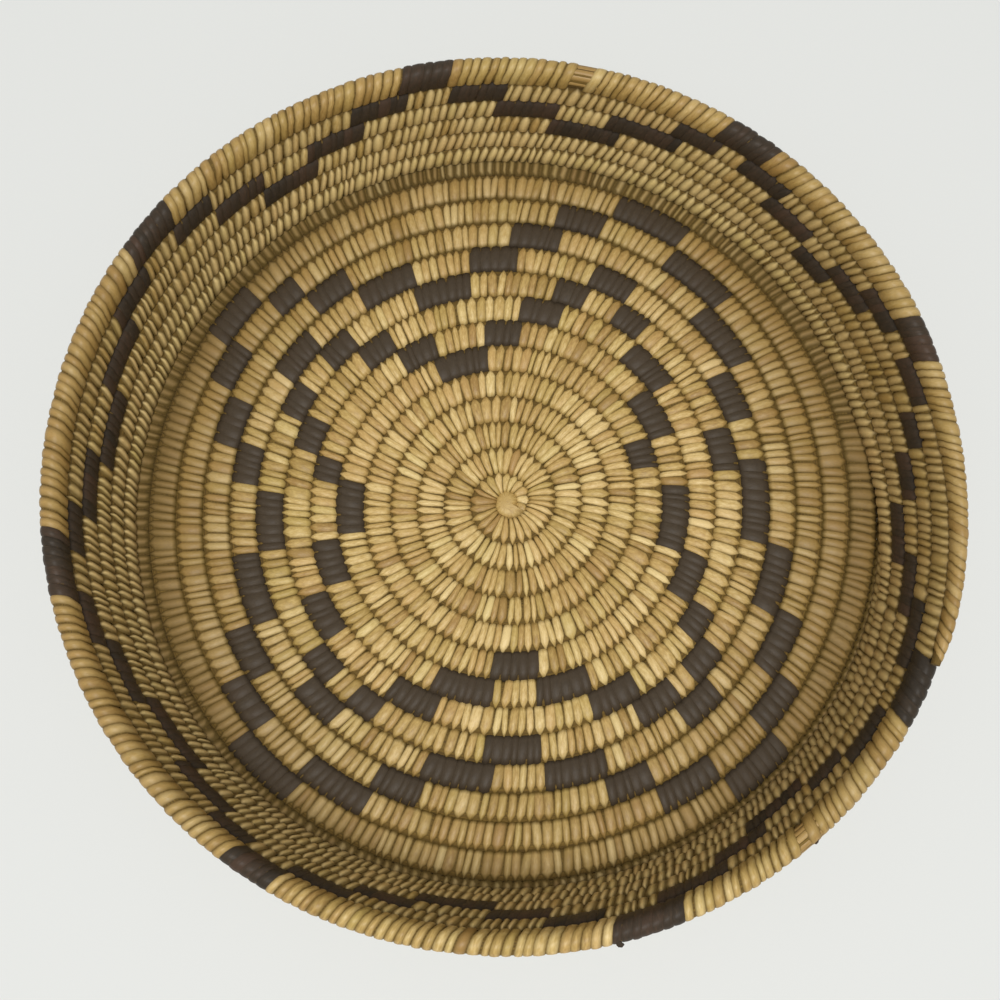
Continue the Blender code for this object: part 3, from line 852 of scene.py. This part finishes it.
# Each row: name, coil, which stitches, their path, their kind, and how the names of replaced nodes begin
lightKind, darkKind = (lightSplint, "light_splint"), (darkSplint, "dark_splint")
stitchPieces = [
    ("floorLightInner", floorCoil, ~onFloor & inner, plainPath, lightKind),
    ("floorLightOuter", floorCoil, ~onFloor & ~inner & ~edge, plainPath, lightKind),
    ("floorEdgeStitches", edgeCoil, edge, edgePath, lightKind),
    ("floorDarkStitches", floorCoil, onFloor, darkPath, darkKind),
    ("wallStartStitches", tipCoil, wholeTip, wallPath, lightKind),
    ("wallLightStitches", wallCoil, ~onWall & lower, wallPath, lightKind),
    ("wallDarkStitches", wallCoil, onWall & lower, darkWallPath, darkKind),
    ("upperLightStitches", wallCoil, ~onWall & upper, wallPath, lightKind, "upper_light"),
    ("upperDarkStitches", wallCoil, onWall & upper, darkWallPath, darkKind, "upper_dark"),
    ("underEndLightStitches", wallCoil, ~onWall & underEnd, widePath, lightKind),
    ("underEndDarkStitches", wallCoil, onWall & underEnd, darkWallPath, darkKind),
    ("rimLightStitches", rimCoil, ~onWall & rim & ~lost, rimPath, lightKind, "rim_light"),
    ("rimDarkStitches", rimCoil, onWall & rim, rimPath, darkKind, "rim_dark"),
]
for name, coil, chosen, path, kind, *starts in stitchPieces:
    piece = makeStitches(name, coil, chosen, path, *kind)
    for start in starts:
        replaceGroup(piece, start)
print("stitches made:", len(floorWays) + len(wallWays) + len(wholeTip) - lost.sum())

reedLook = {"radius": 0.0017, "depth": 0.0021, "around": 10, "steps": 9, "past": 1.0, "hue": 0.8, "age": 0.6,
            "dirt": 0.1, "mapStep": 7.0, "mapLength": 20}


def evenValues(points, **given):
    # A splint's values for a piece without stitches, 0 where none is given
    return {key: np.zeros(len(points)) + given.get(key, 0) for key in ("tone", "hue", "dirt", "dust", "age")}


def makeReeds(name, patch):
    # Straight tubes side by side along the coil, their axes on an oval just under the stitches
    look = reedLook
    first, last = patch["run"]
    way = np.linspace(rimWay(last + look["past"]), rimWay(first - look["past"]), look["steps"])
    axis, out, face = wallRail(way)[:3]
    seat = np.radians(patch["seats"])
    x, y = superOval(seat, wallHeight - 2 * look["depth"], tray["thickness"] - 2 * look["depth"])
    around, steps, count = look["around"], look["steps"], len(seat)
    turn = np.arange(around) / around * 2 * np.pi
    px = x[:, None, None] + look["radius"] * np.cos(turn)
    py = y[:, None, None] + look["radius"] * np.sin(turn)
    points = (axis[:, None] + px[..., None] * out[:, None] + py[..., None] * face[:, None]).reshape(-1, 3)
    uv = pairs(np.abs(turn / np.pi - 1) + np.arange(count)[:, None, None] * look["mapStep"],
               np.linspace(0, look["mapLength"], steps)[:, None])
    tones = np.repeat(np.array(patch["tones"]), steps * around)
    values = evenValues(points, tone=tones, hue=look["hue"], dirt=look["dirt"], age=look["age"])
    faces = tubeFaces(count, steps, around, True)
    return makePiece(name, points, faces, lightSplint, "foundation", uv, values)


for name, patch in lostPatches.items():
    makeReeds(name, patch)

# Broken splints that stand off the rim. Each stop gives the angle and, from the coil's surface, how far up
# and how far inwards the strip's middle lies, in millimetres.
looseSplints = {
    "brokenSplint": {"stops": [(310.1, -1.2, -2.2), (309.9, -1.6, -3.0), (309.7, -1.9, -3.5)],
                     "width": 0.0018, "tone": 0.9},
    "brokenDarkSplint": {"stops": [(283.9, -1.1, -2.6), (283.6, -1.4, -3.4), (283.4, -1.6, -3.8)],
                         "width": 0.0030, "tone": 0.4},
}
looseLook = {"rings": 12, "taper": 0.5, "shoulder": 0.7, "mapStep": 3}


def unit(ways):
    # Each way over its own length
    return ways / np.linalg.norm(ways, axis=1, keepdims=True)


def makeLooseSplint(name, look):
    # A ribbon: a flat six-sided section carried along a smooth path through the stops, narrower at its end
    rings, shoulder = looseLook["rings"], looseLook["shoulder"]
    stops = np.array(look["stops"])
    spot = np.linspace(0, len(stops) - 1, rings)
    fine = np.stack([np.interp(spot, np.arange(len(stops)), column) for column in stops.T], -1)
    fine[1:-1] = (fine[:-2] + 2 * fine[1:-1] + fine[2:]) / 4
    axis, out, face = wallRail(rimWay(fine[:, 0]))[:3]
    up = (wallHeight / 2 + fine[:, 1] * millimetre)[:, None]
    middle = axis + out * up + face * (fine[:, 2] * millimetre)[:, None]
    way = unit(np.gradient(middle, axis=0))
    side = unit(np.cross(way, out))
    top = np.cross(side, way)
    across = np.array([-1, -shoulder, shoulder, 1, shoulder, -shoulder]) * look["width"] / 2
    above = np.array([0, 1, 1, 0, -1, -1]) * stitchLooks["thick"] / 2
    taper = mix(1.0, looseLook["taper"], smooth(spot / spot[-1] * 2 - 1))[:, None, None]
    ring = middle[:, None] + side[:, None] * across[:, None] * taper + top[:, None] * above[:, None]
    points, six = ring.reshape(-1, 3), len(across)
    uv = pairs(np.linspace(0, 1, six), spot[:, None] * looseLook["mapStep"])
    values = evenValues(points, tone=look["tone"])
    return makePiece(name, points, tubeFaces(1, rings, six, True), *darkKind, uv, values)


for name, look in looseSplints.items():
    makeLooseSplint(name, look)
print("worn places made")

# The knot that the floor coil starts round
knotLook = {"turns": 48, "rings": 12, "shoulder": 0.6, "streaks": 4.0, "over": 10.0, "tone": 0.4,
            "soil": 0.1, "edgeSoil": 0.8}


def makeKnot():
    # A domed button as wide as the room inside the coil's first round, which grows with the turn. Over the
    # dome the radius is a power of a sine while the height falls as a cosine.
    look = knotLook
    rings, turns = look["rings"], look["turns"]
    fall = np.linspace(0, np.pi, rings)[1:-1]
    way = tray["floorStart"] + look["over"] + np.arange(turns) / turns * 360.0
    axis, out, _, size = floorRail(way)
    room = np.linalg.norm((axis - floorCentre)[:, :2], axis=1) - size * floorWidth / 2
    spread = np.sin(fall) ** look["shoulder"]
    above, below = coilHeight / 2, coilHeight / 2 * floorCoil["under"]
    height = floorAxis + np.cos(fall) * np.where(fall < np.pi / 2, above, below)
    ring = out * (room * spread[:, None])[..., None]
    ring = ring + np.array([0, 0, 1.0]) * height[:, None, None]
    top = floorCentre + [0, 0, floorAxis + above]
    foot = floorCentre + [0, 0, floorAxis - below]
    points = np.concatenate([(ring + floorCentre).reshape(-1, 3), [top, foot]])
    # Its rings run downwards, so the faces are turned
    faces = [np.roll(block[:, ::-1], 1, axis=1) for block in fanFaces(rings - 2, turns)]
    away, turn = fromCentre(points)
    uv = np.stack([np.abs(turn) / np.pi * look["streaks"], away / millimetre], -1)
    # Darker towards its edge
    soil = look["soil"] + look["edgeSoil"] * smooth(away / away.max() * 2 - 1)
    values = evenValues(points, tone=look["tone"], dirt=soil)
    return makePiece("startKnot", points, faces, lightSplint, "foundation", uv, values)


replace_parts(makeKnot(), "start_knot")

# Stage, light and camera. The tray's shadow shows on the stage's floor within the radius under.
stage = {
    "size": 6.0, "colour": (0.80, 0.81, 0.79, 1), "roughness": 0.9, "seen": (0.775, 0.785, 0.755, 1),
    "flat": 0.55, "under": 0.166, "underEdge": 200.0, "farFrom": 0.40, "farOver": 1.2,
    "worldStrength": 0.43, "world": (1.0, 1.0, 1.0, 1),
}


def seenRays(wire, clear):
    # 1 for rays that show the backdrop: from the camera clear of the tray, in gloss and through glass
    camera = wire.out("ShaderNodeLightPath")
    glossy = wire.out("ShaderNodeLightPath", output="Is Glossy Ray")
    through = wire.out("ShaderNodeLightPath", output="Is Transmission Ray")
    return (camera * clear + glossy + through).clamp()


def makeStage():
    # A plain pale floor. Clear of the tray it is partly self-lit to the camera, which keeps it even, and
    # wholly far away, so that it runs into the backdrop.
    mesh = bpy.data.meshes.new("stageFloor")
    s = stage["size"] / 2
    mesh.from_pydata([(-s, -s, 0), (s, -s, 0), (s, s, 0), (-s, s, 0)], [], [(0, 1, 2, 3)])
    material, shader, wire = startMaterial("stagePaper")
    shader.inputs["Base Color"].default_value = stage["colour"]
    shader.inputs["Roughness"].default_value = stage["roughness"]
    glow = wire.out("ShaderNodeEmission", Color=stage["seen"])
    away = wire.out("ShaderNodeVectorMath", {"operation": "LENGTH"}, output=1,
                    i0=wire.out("ShaderNodeTexCoord", output=3))
    clear = ((away - stage["under"]) * stage["underEdge"]).clamp()
    far = ((away - stage["farFrom"]) * (1 / stage["farOver"])).clamp()
    flat = far * (1 - stage["flat"]) + stage["flat"]
    both = wire.out("ShaderNodeMixShader", i0=seenRays(wire, clear) * flat,
                    i1=Wire(wire.tree, shader.outputs[0]), i2=glow)
    both.into(wire.tree.nodes["Material Output"], "Surface")
    mesh.materials.append(material)
    piece = addObject("stageFloor", mesh)


def makeWorld():
    # Even light from all sides, seen as a pale backdrop
    world = bpy.data.worlds.new("studio")
    world.use_nodes = True
    tree = world.node_tree
    wire = Wire(tree, None)
    lit = tree.nodes["Background"]
    lit.inputs["Color"].default_value = stage["world"]
    lit.inputs["Strength"].default_value = stage["worldStrength"]
    shown = wire.out("ShaderNodeBackground", Color=stage["seen"], Strength=1.0)
    both = wire.out("ShaderNodeMixShader", i0=seenRays(wire, 1.0), i1=Wire(tree, lit.outputs[0]), i2=shown)
    both.into(tree.nodes["World Output"], "Surface")
    bpy.context.scene.world = world


lamps = {
    "overhead": {"place": (0.12, -0.25, 1.5), "size": 0.5, "power": 7.5},
    "front": {"place": (-0.12, -0.50, 1.45), "size": 0.4, "power": 8.0},
}


def makeLamps():
    for name, look in lamps.items():
        lamp = bpy.data.lights.new(name, "AREA")
        lamp.shape = "DISK"
        lamp.size = look["size"]
        lamp.energy = look["power"]
        holder = addObject(name, lamp)
        holder.location = look["place"]
        aim = -np.array(look["place"])
        yaw = math.atan2(aim[0], -aim[1])
        pitch = math.atan2(math.hypot(aim[0], aim[1]), -aim[2])
        holder.rotation_euler = (pitch, 0, math.pi + yaw)


# The photograph's camera, fitted to the coil's seams: it looks down on the tray, tilted a little towards -Y
viewPoint = {"distance": 0.485, "tilt": 10.18, "scale": 2323.0, "shift": (6.2, 1.45), "seamHeight": 0.003,
             "picture": 1000.0, "sensor": 36.0, "nearest": 0.01}


def makeCamera():
    look = viewPoint
    camera = bpy.data.cameras.new("photoCamera")
    holder = addObject("photoCamera", camera)
    tilt = math.radians(look["tilt"])
    aim = np.array([*tray["floorCentre"], floorAxis + look["seamHeight"]])
    holder.location = aim + look["distance"] * np.array([0, -math.sin(tilt), math.cos(tilt)])
    holder.rotation_euler = (tilt, 0, 0)
    camera.sensor_width = look["sensor"]
    camera.lens = look["scale"] * look["distance"] / look["picture"] * look["sensor"]
    camera.shift_x = -look["shift"][0] / look["picture"]
    camera.shift_y = look["shift"][1] / look["picture"]
    camera.clip_start = look["nearest"]
    bpy.context.scene.camera = holder


makeStage()
makeWorld()
makeLamps()
makeCamera()
bpy.context.scene.view_settings.view_transform = "Standard"
print("stage, lamps and camera made")
